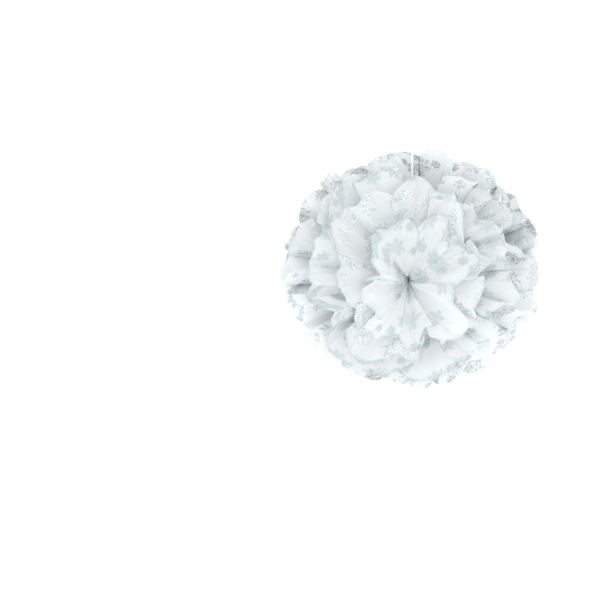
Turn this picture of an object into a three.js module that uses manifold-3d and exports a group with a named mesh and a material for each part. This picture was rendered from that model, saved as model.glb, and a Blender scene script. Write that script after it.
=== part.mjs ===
// Tissue paper pom-pom that hangs by a white cord.
// Ten sheets of tissue are laid on each other, folded like a fan, tied at the middle and cut round at both
// ends. Each end is fanned open to a half disc in the XZ plane, and the sheets are then pulled apart along Y,
// half of them to the front and half to the back, which makes the ball.
// Millimetres, +Z up. The origin is where a hook bears inside the loop at the top of the cord.

import * as THREE from "three";
import Module from "manifold-3d";
import { mergeVertices } from "three/addons/utils/BufferGeometryUtils.js";

const wasm = await Module();
wasm.setup();

// Paper. The solid is thicker than real tissue, which is about 0.03 mm.
const sheetCount = 10;
const stripsPerHalf = 11;
const stripWidth = 69; // flat width of one fold of the fan
const endRounding = 16; // how far a strip's round end stands past its corners
const paperThickness = 0.4;

// Ball, from its centre to the petals' tips
const sideReach = 200;
const topReach = 184;
const frontReach = 186;
const poleOpening = 27; // degrees between the ball's axis and its first ring of petals
const seamGap = 3; // degrees that each half fan stays short of the vertical
const seamLean = 10; // degrees that a seam leans at the skin, so that the next sheet covers it
const baseSteepness = 2.2; // how much steeper a sheet leaves the waist than it ends, 1 for not at all
const splay = 2.5; // how late a petal bends outwards, towards its tip
const leastSwing = 3.5; // degrees that the folds of an almost flat sheet still swing
const swingShare = 0.4; // most that a fold swings, as a share of the angle between sheets
const wobbleShare = 0.08; // uneven fluffing, as a share of the same angle
const reachWobble = 0.025; // uneven length of the petals
const rowShares = [0, 0.08, 0.26, 0.46, 0.66, 0.83]; // rows of points from the waist towards the tips
const endSteps = [0, 0.15, 0.5, 0.85]; // points across a strip's round end

// Waist, where the folded stack is gathered by the tie
const waistHalfLength = 5;
const waistHeight = 13;
const waistPleat = 0.5;
const sheetPitch = 1.2; // spacing of the gathered sheets
const seatGap = 0.3; // clearance between pieces that touch

// Wire tie
const wireThickness = 1.2;
const tieWidth = 2.4; // two turns of wire side by side
const wireBevel = 0.3;
const twistDiameter = 2.2;
const twistLength = 16;

// Cord. Its points run from the tie up to the knot and once round the loop.
const cordDiameter = 3;
const cordSides = 8;
const cordSteps = 70;
const knotRadius = 3.6;
const knotHeight = 5;
const cordPoints = [
  [0, 0, -331.8],
  [0, 0, -327],
  [0.2, 0, -300],
  [0.3, 0, -265],
  [0.2, 0, -225],
  [0, 0, -185],
  [-0.2, 0, -145],
  [-0.2, 0, -105],
  [-0.2, 0, -70],
  [-0.6, 0, -40],
  [-1.2, 0, -25],
  [-1.9, 0, -17],
  [-3.6, 0, -11],
  [-4.6, 0, -5.5],
  [-3.2, 0, -0.4],
  [0, 0, 1.5],
  [3.2, 0, -0.4],
  [4.6, 0, -5.5],
  [3.6, 0, -11],
  [1.9, 0, -17],
].map(([x, y, z]) => new THREE.Vector3(x, y, z));
const knotPlace = new THREE.Vector3(0, 0, -17.5);

// Worked out from the sizes above
const toRadians = Math.PI / 180;
const middleSheet = (sheetCount - 1) / 2;
const tiltStep = (90 - poleOpening) / middleSheet;
const gatheredDepth = 2 * (middleSheet * sheetPitch + waistPleat) + paperThickness;
const tieHole = { depth: gatheredDepth + 2 * seatGap, height: waistHeight + 2 * seatGap };
const ballCentre = cordPoints[0].z - seatGap - wireThickness - tieHole.height / 2;

const tissue = new THREE.MeshStandardMaterial({ color: 0xf1f5f6, roughness: 0.85, metalness: 0 });
const wire = new THREE.MeshStandardMaterial({ color: 0xd5d8da, roughness: 0.4, metalness: 0.9 });
const satin = new THREE.MeshStandardMaterial({ color: 0xf7f9f9, roughness: 0.5, metalness: 0 });

// Fold lines are numbered from 0 at the bottom of a half fan, and a number between two of them is a line on
// the strip between. The folds go in and out by turns.
function pleatWave(fold) {
  return 1 - 2 * Math.abs(((fold + 1) % 2) - 1);
}

// Uneven fluffing: a number from -1 to 1 for each fold line, straight from one fold to the next
function wobble(sheet, side, fold, kind) {
  const lower = Math.min(Math.floor(fold), stripsPerHalf - 1);
  const atLine = (line) => Math.sin(12.9 * sheet + 4.1 * side + 7.7 * line + 2.3 * kind);
  return THREE.MathUtils.lerp(atLine(lower), atLine(lower + 1), fold - lower);
}

// The seams between the half fans lean by turns. The two sheets in front of the cord keep it open to view.
function leanOf(sheet) {
  const opensToCord = sheet < middleSheet && sheet > middleSheet - 2;
  const turn = sheet % 2 === 0 ? 1 : -1;
  return opensToCord ? 0 : seamLean * turn;
}

// Angle of a fold line in the disc plane, up from the side that its half fan opens to
function fanAngle(sheet, side, fold, share) {
  const end = 90 - seamGap;
  const height = 2 * (fold / stripsPerHalf) - 1;
  const lean = side * leanOf(sheet) * share;
  return (end * height + lean * Math.abs(height)) * toRadians;
}

// How far a fold swings out of its sheet, in degrees: what the flat width of a strip leaves over
function foldSwing(tilt) {
  const span = (Math.PI * sideReach * Math.cos(tilt * toRadians)) / stripsPerHalf;
  const spare = Math.sqrt(Math.max(stripWidth ** 2 - span ** 2, 0)) / 2;
  const needed = Math.asin(Math.min(spare / sideReach, 1)) / toRadians;
  return Math.min(Math.max(needed, leastSwing), swingShare * tiltStep);
}

// Angle out of the disc plane of a point on a sheet, steep at the waist and bent outwards at the tip
function tiltAngle(sheet, side, fold, share) {
  const sheetTilt = (sheet - middleSheet) * tiltStep;
  const swing = foldSwing(sheetTilt) * pleatWave(fold);
  const uneven = wobbleShare * tiltStep * wobble(sheet, side, fold, 1);
  const tipTilt = sheetTilt + swing + uneven;
  const baseTilt = Math.sign(tipTilt) * 90 * (1 - (1 - Math.abs(tipTilt) / 90) ** baseSteepness);
  return THREE.MathUtils.lerp(baseTilt, tipTilt, share ** splay) * toRadians;
}

// Distance from the waist to the ball's skin along a direction
function skinDistance(angle, tilt) {
  const across = (Math.cos(tilt) * Math.cos(angle)) / (sideReach - waistHalfLength);
  const outward = Math.sin(tilt) / frontReach;
  const upward = (Math.cos(tilt) * Math.sin(angle)) / (topReach - waistHeight / 2);
  return 1 / Math.hypot(across, outward, upward);
}

// Share of its full length at which the round end of a strip stops, across the strip
function roundEnd(fold, reach) {
  const halfWidth = stripWidth / 2;
  const radius = (halfWidth ** 2 + endRounding ** 2) / (2 * endRounding);
  const across = (fold - Math.floor(fold)) * 2 - 1;
  const drop = radius - Math.sqrt(radius ** 2 - (across * halfWidth) ** 2);
  return 1 - drop / reach;
}

// A point on a sheet: side is -1 for the left half fan and 1 for the right one, share is 0 at the waist and
// 1 at the tip, or "end" on the cut edge, and face is -1 or 1 for the two faces of the paper.
function sheetPoint(sheet, side, fold, share, face) {
  const tipTilt = tiltAngle(sheet, side, fold, 1);
  const uneven = 1 - (reachWobble * (1 + wobble(sheet, side, fold, 2))) / 2;
  const reach = skinDistance(fanAngle(sheet, side, fold, 1), tipTilt) * uneven;
  const part = share === "end" ? roundEnd(fold, reach) : share;
  const angle = fanAngle(sheet, side, fold, part);
  const tilt = part === 0 ? 0 : tiltAngle(sheet, side, fold, part);
  const lift = (face * paperThickness) / 2;
  const out = part * reach * Math.cos(tilt) - lift * Math.sin(tilt);
  const forward = part * reach * Math.sin(tilt) + lift * Math.cos(tilt);
  const start = (sheet - middleSheet) * sheetPitch + waistPleat * pleatWave(fold);
  return new THREE.Vector3(
    side * (waistHalfLength + out * Math.cos(angle)),
    start + forward,
    ballCentre + waistHeight * (fold / stripsPerHalf - 0.5) + out * Math.sin(angle)
  );
}

// Rows of points from the left cut edge through the waist to the right one
function sheetRows() {
  const folds = Array.from({ length: stripsPerHalf + 1 }, (_, line) => line);
  const endFolds = folds.slice(0, -1).flatMap((line) => endSteps.map((step) => line + step));
  endFolds.push(stripsPerHalf);
  const half = (side) => [
    ...rowShares.map((share) => ({ side, share, folds })),
    { side, share: "end", folds: endFolds },
  ];
  return [...half(-1).reverse(), ...half(1)];
}

// One sheet as a closed solid: its two faces, joined all round the cut edge
function sheetGeometry(sheet) {
  const positions = [];
  const triangles = [];
  const rows = sheetRows();

  function addFace(face) {
    return rows.map((row) =>
      row.folds.map((fold) => {
        const point = sheetPoint(sheet, row.side, fold, row.share, face);
        positions.push(point.x, point.y, point.z);
        return positions.length / 3 - 1;
      })
    );
  }

  function addTriangle(a, b, c, face) {
    triangles.push(...(face > 0 ? [a, c, b] : [a, b, c]));
  }

  // Band between two rows, closed by a triangle on whichever row is behind: a cut edge has more points
  function addBand(left, right, face) {
    const leftSteps = (left.length - 1) / stripsPerHalf;
    const rightSteps = (right.length - 1) / stripsPerHalf;
    let a = 0;
    let b = 0;
    while (a + 1 < left.length || b + 1 < right.length) {
      if ((a + 0.5) / leftSteps <= (b + 0.5) / rightSteps) {
        addTriangle(left[a], right[b], left[a + 1], face);
        a += 1;
      } else {
        addTriangle(left[a], right[b], right[b + 1], face);
        b += 1;
      }
    }
  }

  const back = addFace(1);
  const front = addFace(-1);
  for (let row = 0; row + 1 < rows.length; row += 1) {
    addBand(back[row], back[row + 1], 1);
    addBand(front[row], front[row + 1], -1);
  }

  // Cut edge all round
  const rim = (faceRows) => {
    const last = faceRows.length - 1;
    const bottoms = faceRows.map((row) => row[0]);
    const tops = faceRows.map((row) => row[row.length - 1]);
    const around = [...bottoms, ...faceRows[last].slice(1), ...tops.slice(0, -1).reverse()];
    return [...around, ...faceRows[0].slice(0, -1).reverse()];
  };
  const backRim = rim(back);
  const frontRim = rim(front);
  for (let step = 0; step + 1 < backRim.length; step += 1) {
    addTriangle(backRim[step], backRim[step + 1], frontRim[step + 1], -1);
    addTriangle(backRim[step], frontRim[step + 1], frontRim[step], -1);
  }

  const geometry = new THREE.BufferGeometry();
  geometry.setAttribute("position", new THREE.Float32BufferAttribute(positions, 3));
  geometry.setIndex(triangles);
  return geometry;
}

function toSolid(geometry) {
  const bare = geometry.clone();
  bare.deleteAttribute("normal");
  bare.deleteAttribute("uv");
  const merged = mergeVertices(bare, 1e-4);
  const mesh = new wasm.Mesh({
    numProp: 3,
    vertProperties: new Float32Array(merged.attributes.position.array),
    triVerts: new Uint32Array(merged.index.array),
  });
  return new wasm.Manifold(mesh);
}

function toGeometry(solid) {
  const mesh = solid.getMesh();
  const geometry = new THREE.BufferGeometry();
  geometry.setAttribute("position", new THREE.BufferAttribute(mesh.vertProperties, 3));
  geometry.setIndex(new THREE.BufferAttribute(mesh.triVerts, 1));
  geometry.computeVertexNormals();
  return geometry;
}

// Rectangle with round corners, drawn across the waist
function roundedOutline(outline, width, height, corner) {
  const right = width / 2;
  const top = height / 2;
  outline.moveTo(right - corner, -top);
  outline.absarc(right - corner, -top + corner, corner, -Math.PI / 2, 0);
  outline.absarc(right - corner, top - corner, corner, 0, Math.PI / 2);
  outline.absarc(-right + corner, top - corner, corner, Math.PI / 2, Math.PI);
  outline.absarc(-right + corner, -top + corner, corner, Math.PI, 1.5 * Math.PI);
  outline.closePath();
  return outline;
}

// Wire tie: a ring drawn in the YZ plane round the gathered waist, and its twisted ends below
function tieGeometry() {
  const inset = 2 * wireBevel;
  const corner = seatGap;
  const ring = roundedOutline(
    new THREE.Shape(),
    tieHole.depth + 2 * wireThickness - inset,
    tieHole.height + 2 * wireThickness - inset,
    corner + wireThickness - wireBevel
  );
  ring.holes.push(
    roundedOutline(new THREE.Path(), tieHole.depth + inset, tieHole.height + inset, corner + wireBevel)
  );
  const band = new THREE.ExtrudeGeometry(ring, {
    depth: tieWidth - inset,
    bevelThickness: wireBevel,
    bevelSize: wireBevel,
    bevelSegments: 1,
    curveSegments: 3,
  });
  band.translate(0, 0, -tieWidth / 2 + wireBevel);
  const acrossWaist = new THREE.Matrix4().makeBasis(
    new THREE.Vector3(0, 1, 0),
    new THREE.Vector3(0, 0, 1),
    new THREE.Vector3(1, 0, 0)
  );
  band.applyMatrix4(acrossWaist);

  const overlap = wireThickness / 2;
  const twist = new THREE.CylinderGeometry(twistDiameter / 2, twistDiameter / 3, twistLength + overlap, 10);
  twist.rotateX(Math.PI / 2);
  twist.translate(0, 0, -tieHole.height / 2 - overlap - (twistLength + overlap) / 2);
  return toGeometry(toSolid(band).add(toSolid(twist)));
}

// Cord: one tube from the tie to the loop, with the knot that closes the loop
function cordGeometry() {
  const section = new THREE.Shape();
  for (let side = 0; side < cordSides; side += 1) {
    const angle = ((side + 0.5) * 2 * Math.PI) / cordSides;
    const x = (cordDiameter / 2) * Math.cos(angle);
    const y = (cordDiameter / 2) * Math.sin(angle);
    if (side === 0) {
      section.moveTo(x, y);
    } else {
      section.lineTo(x, y);
    }
  }
  section.closePath();
  const tube = new THREE.ExtrudeGeometry(section, {
    steps: cordSteps,
    extrudePath: new THREE.CatmullRomCurve3(cordPoints),
  });
  const knot = new THREE.SphereGeometry(knotRadius, 12, 8);
  knot.scale(1, 0.8, knotHeight / knotRadius);
  knot.translate(knotPlace.x, knotPlace.y, knotPlace.z);
  return toGeometry(toSolid(tube).add(toSolid(knot)));
}

const pomPom = new THREE.Group();

function addPiece(name, geometry, material) {
  const mesh = new THREE.Mesh(geometry, material);
  mesh.name = name;
  pomPom.add(mesh);
  return mesh;
}

for (let sheet = 0; sheet < sheetCount; sheet += 1) {
  const number = String(sheet + 1).padStart(2, "0");
  addPiece(`tissue_sheet_${number}`, sheetGeometry(sheet), tissue);
}
addPiece("waist_tie", tieGeometry(), wire).position.set(0, 0, ballCentre);
addPiece("hanging_cord", cordGeometry(), satin);

export default pomPom;
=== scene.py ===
# Tissue paper pom-pom on a white cord: ten pleated sheets, tied at the middle and pulled apart into petals
import math
import bpy
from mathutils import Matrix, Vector


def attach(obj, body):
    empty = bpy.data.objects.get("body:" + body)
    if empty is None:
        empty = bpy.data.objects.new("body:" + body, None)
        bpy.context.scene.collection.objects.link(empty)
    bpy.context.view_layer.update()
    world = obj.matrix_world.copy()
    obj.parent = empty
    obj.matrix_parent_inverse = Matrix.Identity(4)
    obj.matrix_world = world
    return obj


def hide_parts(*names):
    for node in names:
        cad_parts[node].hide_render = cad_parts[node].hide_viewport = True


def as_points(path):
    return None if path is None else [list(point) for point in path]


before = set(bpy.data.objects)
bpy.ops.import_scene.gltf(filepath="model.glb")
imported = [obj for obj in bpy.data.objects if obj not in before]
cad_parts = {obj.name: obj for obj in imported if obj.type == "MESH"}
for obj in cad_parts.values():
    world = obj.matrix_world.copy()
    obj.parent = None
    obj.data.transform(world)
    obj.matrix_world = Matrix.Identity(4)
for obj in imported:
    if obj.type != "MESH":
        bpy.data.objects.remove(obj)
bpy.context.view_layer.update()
print("stage: frame loaded")


# formulas in node trees

class Value:
    # a socket that stands in a formula
    def __init__(self, sketch, socket):
        self.sketch, self.socket = sketch, socket

    def math(self, operation, *rest):
        return self.sketch.math(operation, self, *rest)

    def __add__(self, other):
        return self.math("ADD", other)

    def __sub__(self, other):
        return self.math("SUBTRACT", other)

    def __mul__(self, other):
        return self.math("MULTIPLY", other)

    def __truediv__(self, other):
        return self.math("DIVIDE", other)

    def __pow__(self, other):
        return self.math("POWER", other)

    def __gt__(self, other):
        return self.math("GREATER_THAN", other)

    def __lt__(self, other):
        return self.math("LESS_THAN", other)

    def __rsub__(self, other):
        return self.sketch.math("SUBTRACT", other, self)

    def __rtruediv__(self, other):
        return self.sketch.math("DIVIDE", other, self)

    __radd__, __rmul__ = __add__, __mul__

    def out(self, name):
        return Value(self.sketch, self.socket.node.outputs[name])


class Sketch:
    # one node tree, filled by formulas
    def __init__(self, tree):
        self.tree = tree

    def add(self, kind, settings=None, sockets=None, output=0):
        node = self.tree.nodes.new(kind)
        for name, setting in (settings or {}).items():
            setattr(node, name, setting)
        for key, value in (sockets or {}).items():
            if isinstance(value, Value):
                self.tree.links.new(value.socket, node.inputs[key])
            else:
                node.inputs[key].default_value = value
        return Value(self, node.outputs[output]) if len(node.outputs) else node

    def math(self, operation, *values):
        return self.add("ShaderNodeMath", {"operation": operation}, dict(enumerate(values)))

    def vector(self, x=0.0, y=0.0, z=0.0):
        return self.add("ShaderNodeCombineXYZ", None, {0: x, 1: y, 2: z})

    def split(self, vector):
        x = self.add("ShaderNodeSeparateXYZ", None, {0: vector})
        return x, x.out("Y"), x.out("Z")

    def blend(self, factor, first, second):
        return first + (second - first) * factor

    def step(self, value, low, high, toLow=0.0, toHigh=1.0):
        return self.add("ShaderNodeMapRange", {"interpolation_type": "SMOOTHSTEP"},
                        {0: value, 1: low, 2: high, 3: toLow, 4: toHigh})

    def sin(self, value):
        return self.math("SINE", value)

    def cos(self, value):
        return self.math("COSINE", value)

    def limit(self, value, low, high):
        return self.math("MINIMUM", self.math("MAXIMUM", value, low), high)

    def chance(self, x, y, z):
        # a number from 0 to 1 that stays the same for the same three
        return self.add("ShaderNodeTexWhiteNoise", {"noise_dimensions": "3D"},
                        {"Vector": self.vector(x, y, z)}, "Value")

    def noise(self, place, scale, detail=2.0, roughness=0.5, kind="FBM"):
        return self.add("ShaderNodeTexNoise", {"noise_dimensions": "3D", "noise_type": kind},
                        {"Vector": place, "Scale": scale, "Detail": detail, "Roughness": roughness})

    def colour(self, factor, first, second):
        # from the first colour to the second
        return self.add("ShaderNodeMix", {"data_type": "RGBA"}, {0: factor, 6: first, 7: second}, 2)

    def bump(self, height, strength, depth):
        return self.add("ShaderNodeBump", None, {"Strength": strength, "Distance": depth, "Height": height})

    def objectPlace(self):
        return self.add("ShaderNodeTexCoord", None, None, "Object")


# camera, at the viewing angle of the photograph

viewPoint = {
    "ballCentre": (0.0, 0.0, -0.3401),
    "distance": 2.2,
    "turn": 1.7,          # degrees towards +X from straight in front
    "rise": 7.5,          # degrees above the ball's centre
    "pixelLength": 1457,  # focal length in pixels of a picture 600 wide
    "pictureSize": 600,
    "ballPixel": (411, 269),
    "sensorWidth": 36,
    "sees": (0.01, 50),   # nearest and furthest, in metres
}


def makeCamera(s):
    centre = Vector(s["ballCentre"])
    turn, rise = math.radians(s["turn"]), math.radians(s["rise"])
    outwards = Vector((math.sin(turn) * math.cos(rise), -math.cos(turn) * math.cos(rise), math.sin(rise)))
    across = (s["ballPixel"][0] - s["pictureSize"] / 2) / s["pixelLength"]
    above = (s["pictureSize"] / 2 - s["ballPixel"][1]) / s["pixelLength"]
    norm = math.sqrt(1 + across ** 2 + above ** 2)
    pitch = math.asin(-math.sin(rise) * norm / math.hypot(1, above)) - math.atan(above)
    yaw = turn + math.atan2(across, math.cos(pitch) - above * math.sin(pitch))
    data = bpy.data.cameras.new("viewCamera")
    data.sensor_width = s["sensorWidth"]
    data.lens = s["pixelLength"] / s["pictureSize"] * s["sensorWidth"]
    data.clip_start, data.clip_end = s["sees"]
    camera = bpy.data.objects.new("viewCamera", data)
    camera.location = centre + outwards * s["distance"]
    camera.rotation_euler = (math.pi / 2 + pitch, 0, yaw)
    bpy.context.scene.collection.objects.link(camera)
    bpy.context.scene.camera = camera


makeCamera(viewPoint)
print("stage: camera")


# helpers for pieces

def newMaterial(name):
    material = bpy.data.materials.new(name)
    material.use_nodes = True
    material.node_tree.nodes.clear()
    return material, Sketch(material.node_tree)


def finishMaterial(sketch, shader):
    sketch.add("ShaderNodeOutputMaterial", None, {"Surface": shader})


def newTree(name, inputs):
    tree = bpy.data.node_groups.new(name, "GeometryNodeTree")
    tree.interface.new_socket(name="Geometry", in_out="INPUT", socket_type="NodeSocketGeometry")
    tree.interface.new_socket(name="Geometry", in_out="OUTPUT", socket_type="NodeSocketGeometry")
    for inputName, kind, default in inputs:
        socket = tree.interface.new_socket(name=inputName, in_out="INPUT", socket_type=kind)
        socket.default_value = default
    sketch = Sketch(tree)
    source = tree.nodes.new("NodeGroupInput")
    return tree, sketch, {s.name: Value(sketch, s) for s in source.outputs if s.name}


def closeTree(sketch, geometry, material):
    real = sketch.add("GeometryNodeRealizeInstances", None, {0: geometry})
    finished = sketch.add("GeometryNodeSetMaterial", None, {"Geometry": real, "Material": material})
    out = sketch.tree.nodes.new("NodeGroupOutput")
    sketch.tree.links.new(finished.socket, out.inputs[0])


def plainMesh(obj, name):
    # the evaluated object as one mesh, with its modifiers gone
    graph = bpy.context.evaluated_depsgraph_get()
    finished = obj.evaluated_get(graph)
    mesh = bpy.data.meshes.new_from_object(finished, preserve_all_data_layers=True, depsgraph=graph)
    mesh.name = name
    return mesh


def runTree(name, tree, values, start=None):
    # a new object whose mesh the tree makes, with the inputs set by their identifiers
    obj = bpy.data.objects.new(name, start or bpy.data.meshes.new(name + "Start"))
    bpy.context.scene.collection.objects.link(obj)
    modifier = obj.modifiers.new("shape", "NODES")
    modifier.node_group = tree
    identifiers = {s.name: s.identifier for s in tree.interface.items_tree if s.in_out == "INPUT"}
    for inputName, value in values.items():
        modifier[identifiers[inputName]] = value
    mesh = plainMesh(obj, name)
    bpy.data.objects.remove(obj)
    made = bpy.data.objects.new(name, mesh)
    bpy.context.scene.collection.objects.link(made)
    return made


# white satin cord, knotted to the tie and into a loop at its top

cordLook = {
    "radius": 0.0015,
    "lobeDepth": 0.00012,   # three twisted strands
    "strands": 3,
    "turnLength": 0.011,
    "ringPoints": 18,
    "stepLength": 0.0009,
    "colour": (0.965, 0.975, 0.98, 1),
    "grooveShade": 0.92, "shadeMix": (0.6, 0.4),   # of the grooves and of the fibres
    "fibreScale": (900, 900, 160), "fibreBump": 0.5,
    "bumpStrength": 0.4, "bumpDepth": 0.0002,
    "roughness": 0.38, "roughnessSpread": 0.15, "sheen": 0.3,
    # the knot below the loop
    "knotCentre": (0.0, 0.0, -0.0175), "knotReach": (0.0026, 0.0022), "knotHeight": 0.0052,
    "knotPoints": 45, "knotPointsPerTurn": 18,
    # from the tie up to the loop, and round the loop to the knot
    "points": [
        (0, 0, -0.3318), (0, 0, -0.327), (0.0002, 0, -0.3), (0.0003, 0, -0.265), (0.0002, 0, -0.225),
        (0, 0, -0.185), (-0.0002, 0, -0.145), (-0.0002, 0, -0.105), (-0.0002, 0, -0.07), (-0.0006, 0, -0.04),
        (-0.0012, 0, -0.025), (-0.0019, 0, -0.017), (-0.0036, 0, -0.011), (-0.0046, 0, -0.0055),
        (-0.0032, 0, -0.0004), (0, 0, 0.0015), (0.0032, 0, -0.0004), (0.0046, 0, -0.0055),
        (0.0036, 0, -0.011), (0.0019, 0, -0.017)],
    "pathEvery": 4,         # every fourth point of the line, and the last, is put in a point list that is not kept
}


def cordMaterial(s):
    material, k = newMaterial("whiteCord")
    x, y, z = k.split(k.objectPlace())
    turn = k.math("ARCTAN2", y, x) * s["strands"] - z * (2 * math.pi * s["strands"] / s["turnLength"])
    groove = k.sin(turn) * 0.5 + 0.5
    scaleX, scaleY, scaleZ = s["fibreScale"]
    fibre = k.noise(k.vector(x * scaleX, y * scaleY, z * scaleZ), 1.0, 3)
    shaded = [c * s["grooveShade"] for c in s["colour"][:3]] + [1]
    ofGroove, ofFibre = s["shadeMix"]
    shader = k.add("ShaderNodeBsdfPrincipled", None, {
        "Base Color": k.colour(groove * ofGroove + fibre * ofFibre, shaded, s["colour"]),
        "Roughness": s["roughness"] + fibre * s["roughnessSpread"], "Sheen Weight": s["sheen"],
        "Normal": k.bump(groove + fibre * s["fibreBump"], s["bumpStrength"], s["bumpDepth"])})
    finishMaterial(k, shader)
    return material


def smoothLine(points, stepLength):
    # a smooth line through the points, at even steps
    ps = [Vector(p) for p in points]
    ps = [2 * ps[0] - ps[1]] + ps + [2 * ps[-1] - ps[-2]]
    line = []
    for a, b, c, d in zip(ps, ps[1:], ps[2:], ps[3:]):
        count = max(2, round((c - b).length / stepLength))
        for i in range(count):
            t = i / count
            line.append(0.5 * (2 * b + (c - a) * t + (2 * a - 5 * b + 4 * c - d) * t ** 2
                               + (3 * b - a - 3 * c + d) * t ** 3))
    return line + [ps[-2]]


def lineCurve(name, line):
    data = bpy.data.curves.new(name, "CURVE")
    data.dimensions = "3D"
    data.twist_mode = "MINIMUM"
    spline = data.splines.new("POLY")
    spline.points.add(len(line) - 1)
    for point, place in zip(spline.points, line):
        point.co = (*place, 1)
    return data


def cordTree(s, material):
    tree, k, given = newTree("twistedCord", [
        ("Radius", "NodeSocketFloat", s["radius"]), ("Strand depth", "NodeSocketFloat", s["lobeDepth"]),
        ("Strands", "NodeSocketFloat", s["strands"]), ("Turn length", "NodeSocketFloat", s["turnLength"])])
    ring = k.add("GeometryNodeCurvePrimitiveCircle", None, {"Resolution": s["ringPoints"], "Radius": 1.0})
    x, y, z = k.split(k.add("GeometryNodeInputPosition"))
    lobes = k.math("ABSOLUTE", k.cos(k.math("ARCTAN2", y, x) * given["Strands"] * 0.5))
    reach = given["Radius"] - given["Strand depth"] * (1 - lobes)
    profile = k.add("GeometryNodeSetPosition", None, {
        "Geometry": ring, "Position": k.vector(x * reach, y * reach, 0.0)})
    length = k.add("GeometryNodeSplineParameter", None, None, "Length")
    twisted = k.add("GeometryNodeSetCurveTilt", None, {
        "Curve": given["Geometry"], "Tilt": length * (2 * math.pi) / given["Turn length"]})
    tube = k.add("GeometryNodeCurveToMesh", None, {
        "Curve": twisted, "Profile Curve": profile, "Fill Caps": True})
    closeTree(k, k.add("GeometryNodeSetShadeSmooth", None, {"Geometry": tube}), material)
    return tree


def makeCord(s):
    material = cordMaterial(s)
    line = smoothLine(s["points"], s["stepLength"])
    tree = cordTree(s, material)
    cord = runTree("hangingCord", tree, {"Radius": s["radius"]}, lineCurve("cordLine", line))
    length = sum((b - a).length for a, b in zip(line, line[1:]))
    # the knot: the same cord wound round itself
    turns, (knotX, knotY) = [], s["knotReach"]
    for i in range(s["knotPoints"]):
        a = 2 * math.pi * i / s["knotPointsPerTurn"]
        rise = (i / (s["knotPoints"] - 1) - 0.5) * s["knotHeight"]
        turns.append(Vector(s["knotCentre"]) + Vector((math.cos(a) * knotX, math.sin(a) * knotY, rise)))
    knotCurve = lineCurve("knotLine", smoothLine(turns, s["stepLength"]))
    knot = runTree("cordKnot", tree, {"Radius": s["radius"]}, knotCurve)
    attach(cord, "root")
    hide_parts("hanging_cord")
    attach(knot, "root")
    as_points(line[::s["pathEvery"]] + [line[-1]])
    print("stage: cord", round(length, 4))


makeCord(cordLook)


# tissue paper

tissueLook = {
    # the sheet itself, and the light that comes through it
    "paper": (0.97, 0.972, 0.977, 1), "fibre": (0.945, 0.962, 0.968, 1),
    "paperMix": (0.7, 0.3), "paperFrom": (0.35, 0.65),   # of clouds and streaks
    "glow": (0.956, 0.978, 0.982, 1), "throughLight": 0.76,
    "roughness": 0.62, "reverseRoughness": 0.66, "specular": 0.3,
    "cloudScale": 260.0, "streakScale": (420, 50, 40), "crinkleScale": 60.0, "creaseScale": (90, 12, 40),
    "bumpHeights": (2.2, 0.5, 0.35, 0.15, 0.1),   # creases, crinkle, streaks, clouds and print
    "bumpStrength": 0.9, "bumpDepth": 0.0013,
    # glitter print on the front; its pale flecks are painted glints
    "print": (0.46, 0.52, 0.525, 1), "dark": (0.33, 0.385, 0.39, 1), "glintFleck": (0.8, 0.82, 0.82, 1),
    "fleckScale": 720.0, "darkFrom": 0.6, "fullFrom": 0.3, "thinPrint": 0.65, "glintFrom": 0.86,
    "printGloss": 0.3, "printBlocks": 0.85,
    # how it shows on the reverse
    "showsThrough": (0.4, 0.52, 0.515, 1), "reverseShow": 0.86, "reverseBlocks": 0.3,
    # snowflakes: radius, cell, share of cells filled, seed, and shift in the cell's grid
    "largeFlakes": (0.0135, 0.036, 0.9, 3, (0.0, 0.0)),
    "smallFlakes": (0.007, 0.028, 0.5, 11, (0.019, 0.013)),
    "stroke": 0.0008, "strokeEdge": (1.5, 0.6), "glintEdge": (2.4, 1.0), "reverseEdge": 2.1,
    "smallestSize": 0.75, "cellUse": 0.92, "mostTurn": 6.283, "emptyCell": 0.1,
    "branches": ((0.3, 0.3), (0.55, 0.3), (0.78, 0.2)),   # where on the arm, and how long
    "branchLean": math.pi / 3,
    "wobble": 0.0009, "wobbleScale": (400.0, 430.0), "sheetShift": 1.7,
    # painted shade along the rim, where the curled edge of the paper falls in shade
    "edge": (0.52, 0.62, 0.63, 1), "edgeShade": (0.05, 0.6), "edgeFrom": 0.975,
    "edgeScale": 35.0, "edgeChance": (0.4, 0.65),
}


def flakeDistance(k, s, u, v, flakes):
    # distance to the nearest stroke of six-armed flakes, one to a cell, each turned and moved by its own chance
    radius, cell, share, seed, (shiftU, shiftV) = flakes
    if shiftU or shiftV:
        u, v = u + shiftU, v + shiftV
    cellU, cellV = k.math("FLOOR", u / cell), k.math("FLOOR", v / cell)
    shift = (1 - 2 * radius / cell) * s["cellUse"]
    atU = u - (cellU + 0.5 + (k.chance(cellU, cellV, seed) - 0.5) * shift) * cell
    atV = v - (cellV + 0.5 + (k.chance(cellU, cellV, seed + 0.5) - 0.5) * shift) * cell
    turn = k.chance(cellU, cellV, seed + 1.5) * s["mostTurn"]
    size = radius * (s["smallestSize"] + (1 - s["smallestSize"]) * k.chance(cellU, cellV, seed + 2.5))
    length = k.math("SQRT", atU * atU + atV * atV)
    folded = k.math("PINGPONG", k.math("ARCTAN2", atV, atU) + turn, math.pi / 6)
    along, aside = length * k.cos(folded) / size, length * k.sin(folded) / size
    nearest = k.math("MAXIMUM", aside, along - 1)
    leanAlong, leanAside = math.cos(s["branchLean"]), math.sin(s["branchLean"])
    for start, reach in s["branches"]:
        far = k.limit((along - start) * leanAlong + aside * leanAside, 0.0, reach)
        gapAlong, gapAside = along - start - far * leanAlong, aside - far * leanAside
        nearest = k.math("MINIMUM", nearest, k.math("SQRT", gapAlong * gapAlong + gapAside * gapAside))
    missing = (k.chance(cellU, cellV, seed + 3.5) > share) * s["emptyCell"]   # far from any stroke
    return nearest * size + missing


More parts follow.
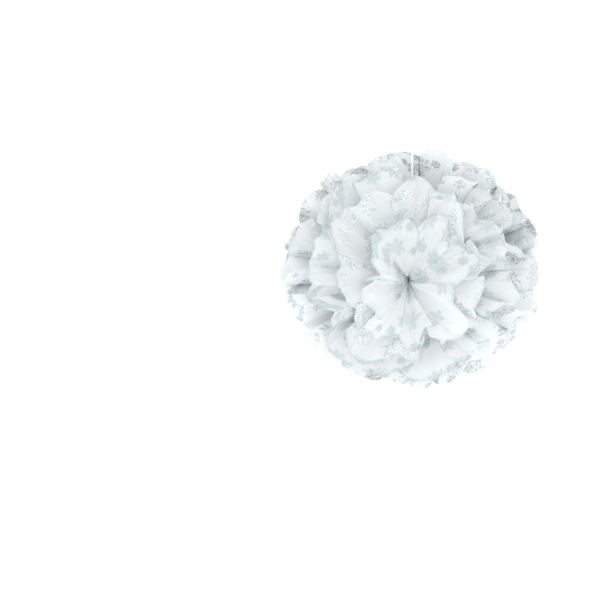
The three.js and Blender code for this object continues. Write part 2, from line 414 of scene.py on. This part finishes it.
def tissueMaterial(name, s, printed):
    material, k = newMaterial(name)
    flat = k.add("ShaderNodeAttribute", {"attribute_name": "flatPaper"}, None, "Vector")
    u, v, w = k.split(flat)

    def stretched(scales):
        return k.vector(u * scales[0], v * scales[1], w * scales[2])

    u = u + w * s["sheetShift"]
    scaleU, scaleV = s["wobbleScale"]
    u = u + (k.noise(flat, scaleU, 1) - 0.5) * s["wobble"]
    v = v + (k.noise(flat, scaleV, 1) - 0.5) * s["wobble"]
    nearest = k.math("MINIMUM", flakeDistance(k, s, u, v, s["largeFlakes"]),
                     flakeDistance(k, s, u, v, s["smallFlakes"]))
    cloudy = k.noise(flat, s["cloudScale"], 4, 0.6)
    streak = k.noise(stretched(s["streakScale"]), 1.0, 3)
    ofClouds, ofStreaks = s["paperMix"]
    pale = k.step(cloudy * ofClouds + streak * ofStreaks, *s["paperFrom"])
    colour = k.colour(pale, s["fibre"], s["paper"])
    stroke = s["stroke"]
    if printed:
        speck = k.split(k.add("ShaderNodeTexVoronoi", {"feature": "F1"},
                              {"Vector": flat, "Scale": s["fleckScale"]}, "Color"))
        inked = k.step(nearest, stroke * s["strokeEdge"][0], stroke * s["strokeEdge"][1])
        mask = inked * (s["thinPrint"] + (1 - s["thinPrint"]) * (speck[1] > s["fullFrom"]))
        colour = k.colour(mask, colour, k.colour(speck[0] > s["darkFrom"], s["print"], s["dark"]))
        # glitter flecks on the strokes, painted pale as glints
        paintedGlint = k.step(nearest, stroke * s["glintEdge"][0], stroke * s["glintEdge"][1])
        colour = k.colour(paintedGlint * (speck[2] > s["glintFrom"]), colour, s["glintFleck"])
    else:
        mask = k.step(nearest, stroke * s["reverseEdge"], 0.0) * s["reverseShow"]
        colour = k.colour(mask, colour, s["showsThrough"])
    # painted shade: a thin darker line along parts of the rim
    rim = k.add("ShaderNodeAttribute", {"attribute_name": "towardsRim"}, None, "Fac")
    paintedRimShade = k.step(rim, s["edgeFrom"], 1.0) * k.step(
        k.noise(flat, s["edgeScale"], 1), *s["edgeChance"], *s["edgeShade"])
    colour = k.colour(paintedRimShade, colour, s["edge"])

    crinkle = k.noise(flat, s["crinkleScale"], 3, 0.55, "RIDGED_MULTIFRACTAL")
    creases = k.math("ABSOLUTE", k.noise(stretched(s["creaseScale"]), 1.0, 2) - 0.5) * 2
    asCreased, asCrinkled, asStreaked, asCloudy, asPrinted = s["bumpHeights"]
    height = creases * asCreased + crinkle * asCrinkled + streak * asStreaked + cloudy * asCloudy
    if printed:
        height = height + mask * asPrinted
    bump = k.bump(height, s["bumpStrength"], s["bumpDepth"])
    surface = k.add("ShaderNodeBsdfPrincipled", None, {
        "Base Color": colour, "Normal": bump, "Specular IOR Level": s["specular"],
        "Roughness": s["roughness"] - s["printGloss"] * mask if printed else s["reverseRoughness"]})
    glow = k.add("ShaderNodeBsdfTranslucent", None, {"Color": s["glow"], "Normal": bump})
    blocks = s["printBlocks"] if printed else s["reverseBlocks"]   # the print holds light back
    through = s["throughLight"] * (1 - blocks * mask)
    finishMaterial(k, k.add("ShaderNodeMixShader", None, {0: through, 1: surface, 2: glow}))
    return material


# folded sheets

sheetLook = {
    "sheetCount": 10,
    "seed": 6.0,
    "columns": 180, "rows": 52, "rowCrowding": 1.25,   # rows stand closer towards the rim
    "thickness": 0.0003,
    "petalWidth": 0.069,      # of one fold of the fan
    "ballCentre": -0.3401,
    "sideReach": 0.207, "topReach": 0.191, "frontReach": 0.187,
    "waistHalfLength": 0.005, "waistHeight": 0.013, "sheetPitch": 0.0012,
    "gatherTo": (0.02, 0.3),
    "tiltStep": 13.0,         # degrees between sheets, and the measure of what lifts a petal
    # seams of the two half fans: degrees they stand open on the cord's left and right, or overlap
    "openSheets": (2, 3, 4), "openSeam": (4.0, 17.0), "shutSeam": -3.5, "seamLean": 10.0, "seamLift": 0.2,
    # one entry for each sheet from the front to the back
    "tilt": [-61.0, -47.5, -34.5, -21.0, -7.0, 7.0, 20.0, 33.0, 45.5, 57.5],
    "topOpening": [9.0, 11.0, 3.0, 0.0, 0.0, 0.0, 0.0, 3.0, 8.0, 6.0],
    "petals": [4, 6, 7, 9, 11, 11, 9, 7, 6, 4],
    "steepness": [5.0, 2.8, 2.4, 2.2, 2.2, 2.2, 2.2, 2.4, 2.8, 5.0],
    "splay": [8.0, 5.5, 4.2, 3.2, 2.6, 2.6, 3.2, 4.2, 5.5, 8.0],
    "valley": [0.6, 0.58, 0.56, 0.6, 0.7, 0.7, 0.6, 0.56, 0.58, 0.6],
    "overlap": [0.16, 0.16, 0.15, 0.12, 0.08, 0.08, 0.12, 0.15, 0.16, 0.16],
    "rounding": [0.009, 0.012, 0.015, 0.019, 0.022, 0.022, 0.019, 0.015, 0.012, 0.009],
    "printedFront": [False, True, False, True, True, True, False, True, False, True],
    # folds between petals, in petal widths, each as the least and what chance adds
    "crossWidth": 0.17, "foldWidth": 0.33, "valleyShape": 1.5,
    "overlapRange": (0.45, 0.75), "overlapLift": 0.9, "depthRange": (0.6, 0.6),
    "uneven": 0.42, "sway": 0.16, "swayFrom": 0.35,
    # the shape of a petal, in tilt steps
    "crown": (0.1, 0.16), "ridge": (0.5, 0.9), "ridgePlace": 0.25,
    "raise": (0.18, 0.24), "twist": 0.3, "ruffle": 0.22, "ruffleFrom": (0.8, 1.05),
    # waves of the paper: across, along and between petals, detail, height, and fading towards the rim
    "waves": {
        "streaks": (4.2, 1.3, 3.7, 2, 0.55, 0.88),
        "crumple": (2.2, 6.5, 5.1, 2, 0.24, 0.6),
        "fine": (7.5, 17, 2.3, 2, 0.07, 0.9),
        "creases": (4.4, 2.1, 4.9, 1, 1.1, 0.85)},
    "ruffleScale": (3.0, 2, 1.3),
    # slow changes around the ball that the sheets share: scale, seed and height
    "drift": (1.4, 9.3, 1.1), "gusts": (1.7, 3.1, 2.4),
    "nestScale": 5.5, "nestFade": 1.6, "nestTurn": 0.6, "nestSeed": 2.7, "nest": 1.3, "nestSides": 1.3,
    "sidesFrom": (0.75, 0.95), "sidesFade": 1.5,
    "cordClear": (0.8, 0.97), "calmAtCord": 0.25, "openingFrom": (0.2, 0.85),
    # the end of a petal
    "shorter": 0.036, "rimWave": 0.008,
    "bendFrom": 0.7, "bend": (0.95, 0.1), "bendInValley": 0.7, "leastBend": 0.02,
    "rollFrom": 0.955, "rollDepth": 0.014, "rollChance": 0.45,
    # how the flat paper is laid out for its print
    "paperSpread": 1.15, "printAcross": 1.1, "printAlong": 1.04, "splayShare": 1.4,
    "sideShift": 0.617, "sheetShift": (0.371, 0.173, 1.37),
}

# every kind of chance has its own seed, and so has every side of every sheet
chanceSeeds = {
    "turned over": 1.25, "overlap": 2.25, "depth": 3.25, "sway": 4.0, "raise": 5.0, "twist": 6.0, "crown": 7.0,
    "length": 8.0, "bend": 9.0, "ridge": 10.0, "ridge place": 11.0, "roll": 12.0, "width": 20.0}
sheetSeedStep, sideSeedStep = 7.31, 1.9

treeInputs = [
    "Sheet", "Petals per half", "Valley depth", "Overlap", "End rounding", "Seam lean", "Left top gap",
    "Right top gap", "Bottom seam gap", "Top opening", "Steepness", "Splay", "Tilt", "Tilt step",
    "Side reach", "Front reach", "Top reach", "Seed"]


def sheetTree(s, material):
    tree, k, given = newTree("foldedSheet", [(n, "NodeSocketFloat", 0.0) for n in treeInputs])
    sheet, petals, seed = given["Sheet"], given["Petals per half"], given["Seed"]
    step = given["Tilt step"] * (math.pi / 180)

    # two grids side by side, one for each half fan
    grid = k.add("GeometryNodeMeshGrid", None, {0: 1.0, 1: 1.0, 2: s["columns"], 3: s["rows"]})
    other = k.add("GeometryNodeTransform", None, {"Geometry": grid, "Translation": (2.0, 0.0, 0.0)})
    other = k.add("GeometryNodeFlipFaces", None, {0: other})
    both = k.tree.nodes.new("GeometryNodeJoinGeometry")
    for part in (grid, other):
        k.tree.links.new(part.socket, both.inputs[0])
    both = Value(k, both.outputs[0])
    x, y, z = k.split(k.add("GeometryNodeInputPosition"))
    right = x > 1.0
    side = right * 2 - 1
    across = x + 0.5 - right * 2                   # 0 at the bottom seam, 1 at the top one
    share = 1 - (1 - (y + 0.5)) ** s["rowCrowding"]   # 0 at the waist, 1 at the rim
    key = sheet * sheetSeedStep + side * sideSeedStep + seed

    # which petal, and the fold beside it
    c = across * petals
    petal = k.math("MINIMUM", k.math("FLOOR", c), petals - 1)
    q = c - petal - 0.5                            # from -0.5 to 0.5 over the petal
    fold = k.math("FLOOR", c + 0.5)
    inner = (fold > 0.5) * (fold < petals - 0.5)
    edge = (q * q * 4) ** 2.0

    def perPetal(kind):
        own = k.chance(petal, key, chanceSeeds[kind])
        beside = k.chance(petal + k.math("SIGN", q), key, chanceSeeds[kind])
        return k.blend(edge * 0.5, own, beside) * 2 - 1

    def perFold(kind):
        return k.chance(fold, key, chanceSeeds[kind])

    def foldShift(place):
        return (k.chance(place, key, chanceSeeds["width"]) - 0.5) * (place > 0.5) * (place < petals - 0.5)

    fromFold = c - fold
    crossing = k.sin(k.limit(fromFold / s["crossWidth"], -1.0, 1.0) * math.pi) * inner
    nearFold = k.cos(k.limit(fromFold / s["foldWidth"], -1.0, 1.0) * math.pi) * 0.5 + 0.5
    valley = nearFold ** s["valleyShape"] * inner
    turnedOver = k.math("SIGN", perFold("turned over") - 0.5)
    least, more = s["overlapRange"]
    overlap = given["Overlap"] * (least + more * perFold("overlap"))
    least, more = s["depthRange"]
    depth = given["Valley depth"] * (least + more * perFold("depth"))

    # around the ball
    width = k.blend(k.step(q, -0.5, 0.5), foldShift(petal), foldShift(petal + 1)) * s["uneven"]
    sway = perPetal("sway") * s["sway"] * k.step(share, s["swayFrom"], 1.0) * (1 - edge)
    height = (c + width + sway - overlap * crossing) / petals * 2 - 1
    top = height > 0.0
    topGap = k.blend(right, given["Left top gap"], given["Right top gap"])
    end = 90 - k.blend(top, given["Bottom seam gap"], topGap)
    lean = side * given["Seam lean"] * share
    angle = (height * end + lean * k.math("ABSOLUTE", height)) * (math.pi / 180)
    aroundX, aroundZ = side * k.cos(angle), k.sin(angle)

    # waves and creases of the paper
    middle = sheet - (s["sheetCount"] - 1) / 2
    sheetTilt = given["Tilt"] * (math.pi / 180)
    poleness = k.math("ABSOLUTE", sheetTilt)
    pole = k.math("SIGN", middle)
    spacing = k.cos(sheetTilt) * math.pi * s["sideReach"] / petals * s["paperSpread"]
    place = c * spacing / s["petalWidth"]

    def waves(name):
        over, along, between, detail, size, fade = s["waves"][name]
        wave = k.noise(k.vector(place * over, share * along, key * between), 1.0, detail) - 0.5
        if name == "creases":
            wave = k.math("ABSOLUTE", wave)
        return wave * size * (1 - share * fade)

    over, along, between = s["ruffleScale"]
    ruffle = k.noise(k.vector(place * over, share * along, key * between), 1.0, 1) - 0.5

    # up is towards the nearer pole, in tilt steps
    crown = (s["crown"][0] + perPetal("crown") * s["crown"][1]) * (1 - q * q * 4)
    ridge = (perPetal("ridge") * s["ridge"][1] + s["ridge"][0]) * (
        0.25 - k.math("ABSOLUTE", q - perPetal("ridge place") * s["ridgePlace"]))
    seamLift = side * (top * 2 - 1) * s["seamLift"] * nearFold * (1 - inner)
    up = seamLift - valley * depth - turnedOver * crossing * overlap * s["overlapLift"] + crown + ridge
    up = up + perPetal("raise") * (s["raise"][0] + poleness * s["raise"][1])
    up = up + perPetal("twist") * q * s["twist"]
    for name in s["waves"]:
        up = up + waves(name)
    up = up + ruffle * s["ruffle"] * k.step(share, *s["ruffleFrom"])

    def around(scale, third):
        # a slow change around the ball
        return k.noise(k.vector(aroundX * scale, aroundZ * scale, third), 1.0, 1) - 0.5

    clear = 1 - k.step(aroundZ, *s["cordClear"])   # the cord rises here
    scale, driftSeed, size = s["drift"]
    drift = around(scale, driftSeed) * size * clear
    often = k.cos(sheetTilt) ** s["nestFade"] * s["nestScale"]
    nested = around(often, share * s["nestTurn"] + s["nestSeed"]) * clear
    atSides = k.step(k.math("ABSOLUTE", aroundX), *s["sidesFrom"]) * k.limit(
        1 - poleness * poleness * s["sidesFade"], 0.0, 1.0)
    nested = nested * (s["nest"] + s["nestSides"] * atSides)
    scale, gustSeed, size = s["gusts"]
    gusty = around(scale, pole * gustSeed) * size * poleness * poleness * clear
    calm = s["calmAtCord"] + clear * (1 - s["calmAtCord"])
    opened = k.step(aroundZ, *s["openingFrom"]) * given["Top opening"] * (math.pi / 180)
    tipTilt = sheetTilt + (pole * (up * calm + gusty) + drift + nested) * step - pole * opened
    tipPart = 1 - k.math("ABSOLUTE", tipTilt) * (2 / math.pi)
    baseTilt = k.math("SIGN", tipTilt) * (math.pi / 2) * (
        1 - k.math("MAXIMUM", tipPart, 0.0) ** given["Steepness"])

    # the rounded end of the petal is cut from the same surface
    half = s["petalWidth"] / 2
    rounding = given["End rounding"]
    arc = (half * half + rounding * rounding) / (2 * rounding)
    atEnd = k.limit(q * 2, -1.0, 1.0) * half
    cut = (arc - k.math("SQRT", arc * arc - atEnd * atEnd)) / s["frontReach"]
    out = share * (1 - cut - s["shorter"] * (1 + perPetal("length")) / 2 - s["rimWave"] * (ruffle + 0.5))
    splayed = out ** given["Splay"]
    tilt = k.blend(splayed, baseTilt, tipTilt)
    ca, sa, ct, st = k.cos(angle), k.sin(angle), k.cos(tilt), k.sin(tilt)
    reach = 1 / k.math("SQRT", (ct * ca / (given["Side reach"] - s["waistHalfLength"])) ** 2.0
                       + (st / given["Front reach"]) ** 2.0
                       + (ct * sa / (given["Top reach"] - s["waistHeight"] / 2)) ** 2.0)

    # its last part bends on an arc, and the rim rolls
    bend = (perPetal("bend") * s["bend"][0] - s["bend"][1]) * (1 - valley * s["bendInValley"])
    bend = k.math("SIGN", bend) * k.math("MAXIMUM", k.math("ABSOLUTE", bend), s["leastBend"])
    past = k.math("MAXIMUM", out - s["bendFrom"], 0.0)
    radius = reach * (1 - s["bendFrom"]) / bend
    turned = bend * past / (1 - s["bendFrom"])
    rolled = k.math("MAXIMUM", share - s["rollFrom"], 0.0) / (1 - s["rollFrom"])
    rollWay = perPetal("roll")
    roll = k.math("MAXIMUM", k.math("ABSOLUTE", rollWay) - s["rollChance"], 0.0)
    roll = roll * k.math("SIGN", rollWay) * s["rollDepth"]
    lift = (radius * (1 - k.cos(turned)) + roll * rolled * rolled) * pole
    run = reach * (out - past) + radius * k.sin(turned)
    outward = run * ct - lift * st
    forward = run * st + lift * ct
    gather = s["waistHalfLength"] * (1 - k.step(share, *s["gatherTo"]))
    px = side * (gather + outward * ca)
    py = middle * s["sheetPitch"] + forward
    pz = s["ballCentre"] + s["waistHeight"] * (across - 0.5) * (1 - share) + outward * sa

    # where each point lies on the flat paper, in metres, along the petal's own bend
    swing = given["Splay"] * k.math("ABSOLUTE", tipTilt - baseTilt) * splayed
    longer = (k.math("SQRT", swing * swing + 1) - 1) / (given["Splay"] * s["splayShare"] + 1)
    paperLength = reach * out * (1 + longer)
    flatU = (petal + 0.5) * spacing + q * outward * math.pi / petals * s["printAcross"]
    shiftU, shiftV, shiftW = s["sheetShift"]
    flat = k.vector(flatU + side * s["sideShift"] + sheet * shiftU,
                    paperLength * s["printAlong"] + sheet * shiftV, sheet * shiftW)
    stored = k.add("GeometryNodeStoreNamedAttribute", {"data_type": "FLOAT_VECTOR", "domain": "POINT"}, {
        "Geometry": both, "Name": "flatPaper", "Value": flat})
    stored = k.add("GeometryNodeStoreNamedAttribute", {"data_type": "FLOAT", "domain": "POINT"}, {
        "Geometry": stored, "Name": "towardsRim", "Value": share})
    placed = k.add("GeometryNodeSetPosition", None, {"Geometry": stored, "Position": k.vector(px, py, pz)})
    closeTree(k, k.add("GeometryNodeSetShadeSmooth", None, {"Geometry": placed}), material)
    return tree


def makeSheets(s):
    front = tissueMaterial("tissuePrinted", tissueLook, True)
    back = tissueMaterial("tissueReverse", tissueLook, False)
    tree = sheetTree(s, front)
    for index in range(s["sheetCount"]):
        if index in s["openSheets"]:
            (leftGap, rightGap), lean = s["openSeam"], 0.0
        else:
            leftGap = rightGap = s["shutSeam"]
            lean = s["seamLean"] * (1 if index % 2 else -1)
        sheet = runTree(f"tissueSheet{index + 1:02d}", tree, {
            "Sheet": float(index), "Petals per half": float(s["petals"][index]),
            "Valley depth": s["valley"][index], "Overlap": s["overlap"][index],
            "End rounding": s["rounding"][index], "Seam lean": lean, "Left top gap": leftGap,
            "Right top gap": rightGap, "Bottom seam gap": s["shutSeam"],
            "Top opening": s["topOpening"][index], "Tilt": s["tilt"][index],
            "Steepness": s["steepness"][index], "Splay": s["splay"][index], "Tilt step": s["tiltStep"],
            "Side reach": s["sideReach"], "Front reach": s["frontReach"], "Top reach": s["topReach"],
            "Seed": s["seed"]})
        sheet.data.materials.clear()
        for material in ((front, back) if s["printedFront"][index] else (back, front)):
            sheet.data.materials.append(material)
        wall = sheet.modifiers.new("wall", "SOLIDIFY")
        wall.thickness, wall.offset, wall.material_offset = s["thickness"], 0.0, 1
        wall.use_rim = True
        sheet.data = plainMesh(sheet, sheet.name)
        sheet.modifiers.clear()
        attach(sheet, "root")
        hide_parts(f"tissue_sheet_{index + 1:02d}")
    print("stage: sheets")


makeSheets(sheetLook)


# wire tie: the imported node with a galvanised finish

tieLook = {
    "light": (0.72, 0.73, 0.74, 1), "dark": (0.5, 0.52, 0.54, 1),
    "spangleScale": 900.0, "bumpStrength": 0.2, "bumpDepth": 0.0001,
    "roughness": 0.3, "roughnessSpread": 0.25,
}


def dressTie(s):
    material, k = newMaterial("galvanisedWire")
    spangle = k.noise(k.objectPlace(), s["spangleScale"], 3, 0.6)
    finishMaterial(k, k.add("ShaderNodeBsdfPrincipled", None, {
        "Base Color": k.colour(spangle, s["dark"], s["light"]), "Metallic": 1.0,
        "Roughness": s["roughness"] + spangle * s["roughnessSpread"],
        "Normal": k.bump(spangle, s["bumpStrength"], s["bumpDepth"])}))
    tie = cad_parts["waist_tie"]
    for slot in tie.material_slots:
        slot.material = material
    if not tie.material_slots:
        tie.data.materials.append(material)


dressTie(tieLook)
print("stage: tie")


# floor, light and white background

studio = {
    "floorHeight": -1.35, "floorRadius": 1.6, "floorPoints": 96,
    "floorColour": (0.9, 0.915, 0.92, 1), "floorLighter": 1.02, "floorScale": 4.0, "floorRoughness": 0.8,
    "floorFades": (0.45, 0.98),   # shares of its radius
    "lampSize": 1.4, "lampColour": (1.0, 0.965, 0.98),
    "lamps": {
        "key": ((0.5, -2.1, -0.9), 9.5),
        "fill": ((-1.7, -1.5, 0.5), 6.5),
        "side": ((2.2, 0.5, 0.2), 7.0),
        "back": ((-1.0, 2.1, -0.6), 8.0)},
    "skyColour": (1.0, 0.983, 0.995, 1), "skyStrength": 1.62,
}


def makeFloor(s):
    disc = bpy.data.meshes.new("paleFloor")
    count, radius = s["floorPoints"], s["floorRadius"]
    turns = [2 * math.pi * i / count for i in range(count)]
    ring = [(math.cos(a) * radius, math.sin(a) * radius, s["floorHeight"]) for a in turns]
    disc.from_pydata(ring, [], [list(range(count))])
    floor = bpy.data.objects.new("paleFloor", disc)
    bpy.context.scene.collection.objects.link(floor)
    material, k = newMaterial("paleFloor")
    place = k.objectPlace()
    lighter = [min(c * s["floorLighter"], 1) for c in s["floorColour"]]
    colour = k.colour(k.noise(place, s["floorScale"], 2), s["floorColour"], lighter)
    x, y, z = k.split(place)
    start, end = s["floorFades"]
    fade = k.step(k.math("SQRT", x * x + y * y), radius * start, radius * end)
    shader = k.add("ShaderNodeBsdfPrincipled", None, {"Base Color": colour, "Roughness": s["floorRoughness"]})
    clear = k.add("ShaderNodeBsdfTransparent")
    finishMaterial(k, k.add("ShaderNodeMixShader", None, {0: fade, 1: shader, 2: clear}))
    disc.materials.append(material)


def makeSky(s):
    # plain white where it is seen, and soft light for the rest
    world = bpy.data.worlds.new("whiteRoom")
    world.use_nodes = True
    world.node_tree.nodes.clear()
    k = Sketch(world.node_tree)
    rays = k.add("ShaderNodeLightPath", None, None, "Is Camera Ray")
    seen = k.limit(rays + rays.out("Is Glossy Ray") + rays.out("Is Transmission Ray"), 0.0, 1.0)
    sky = k.add("ShaderNodeBackground", None, {"Color": s["skyColour"], "Strength": s["skyStrength"]})
    white = k.add("ShaderNodeBackground", None, {"Color": (1, 1, 1, 1), "Strength": 1.0})
    both = k.add("ShaderNodeMixShader", None, {0: seen, 1: sky, 2: white})
    k.add("ShaderNodeOutputWorld", None, {"Surface": both})
    bpy.context.scene.world = world


def makeStudio(s):
    makeFloor(s)
    makeSky(s)
    target = Vector(viewPoint["ballCentre"])
    for name, (place, power) in s["lamps"].items():
        lamp = bpy.data.lights.new(name + "Lamp", "AREA")
        lamp.shape, lamp.size, lamp.energy, lamp.color = "DISK", s["lampSize"], power, s["lampColour"]
        holder = bpy.data.objects.new(name + "Lamp", lamp)
        holder.location = place
        holder.rotation_euler = (target - holder.location).to_track_quat("-Z", "Y").to_euler()
        bpy.context.scene.collection.objects.link(holder)
    bpy.context.scene.view_settings.view_transform = "Standard"


makeStudio(studio)
print("stage: studio")
